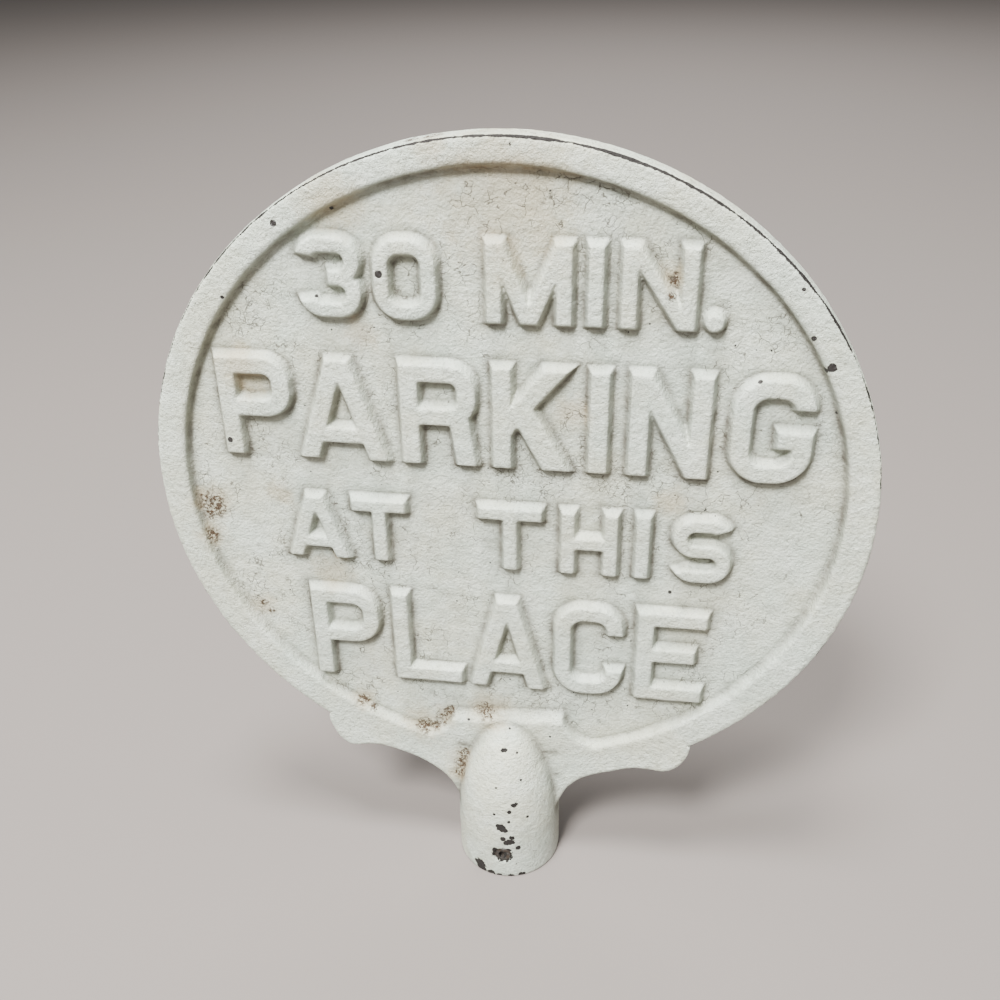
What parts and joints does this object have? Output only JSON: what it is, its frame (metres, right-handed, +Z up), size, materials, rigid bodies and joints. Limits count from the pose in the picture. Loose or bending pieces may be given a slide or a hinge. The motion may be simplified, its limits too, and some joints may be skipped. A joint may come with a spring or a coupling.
{
  "type": "post-top parking sign head",
  "caption": "Round cast-iron parking sign head with a raised rim and raised block letters on both faces, over a pipe socket clamped by a set screw.",
  "frame": {"origin": "centre of the post socket's mouth, on the bore's axis", "axes": "+Z up the post's axis to the top of the sign; the front face looks along -Y, and -Z points out of the socket's mouth"},
  "size_m": [0.4572, 0.0762, 0.5353],
  "materials": {
    "enamel": "thick old off-white enamel over grey cast iron, lightly crazed, chipped to dark iron at the edges",
    "screw_steel": "dull darkened steel"
  },
  "bodies": {
    "sign_head": {"field_plate": "enamel", "front_boss": "enamel", "front_line1_i": "enamel", "front_line1_m": "enamel", "front_line1_n": "enamel", "front_line1_stop": "enamel", "front_line1_three": "enamel", "front_line1_zero": "enamel", "front_line2_a": "enamel", "front_line2_g": "enamel", "front_line2_i": "enamel", "front_line2_k": "enamel", "front_line2_n": "enamel", "front_line2_p": "enamel", "front_line2_r": "enamel", "front_line3_a": "enamel", "front_line3_h": "enamel", "front_line3_i": "enamel", "front_line3_s": "enamel", "front_line3_t": "enamel", "front_line3_t2": "enamel", "front_line4_a": "enamel", "front_line4_c": "enamel", "front_line4_e": "enamel", "front_line4_l": "enamel", "front_line4_p": "enamel", "left_wing": "enamel", "outer_rim": "enamel", "post_socket": "enamel", "rear_boss": "enamel", "rear_line1_i": "enamel", "rear_line1_m": "enamel", "rear_line1_n": "enamel", "rear_line1_stop": "enamel", "rear_line1_three": "enamel", "rear_line1_zero": "enamel", "rear_line2_a": "enamel", "rear_line2_g": "enamel", "rear_line2_i": "enamel", "rear_line2_k": "enamel", "rear_line2_n": "enamel", "rear_line2_p": "enamel", "rear_line2_r": "enamel", "rear_line3_a": "enamel", "rear_line3_h": "enamel", "rear_line3_i": "enamel", "rear_line3_s": "enamel", "rear_line3_t": "enamel", "rear_line3_t2": "enamel", "rear_line4_a": "enamel", "rear_line4_c": "enamel", "rear_line4_e": "enamel", "rear_line4_l": "enamel", "rear_line4_p": "enamel", "right_wing": "enamel"},
    "set_screw": {"set_screw": "screw_steel"}
  },
  "joints": [
    {"name": "set_screw_travel", "type": "slide", "parent": "sign_head", "child": "set_screw", "axis": [0, -1, 0], "range_m": [-0.0025, 0.012]}
  ]
}
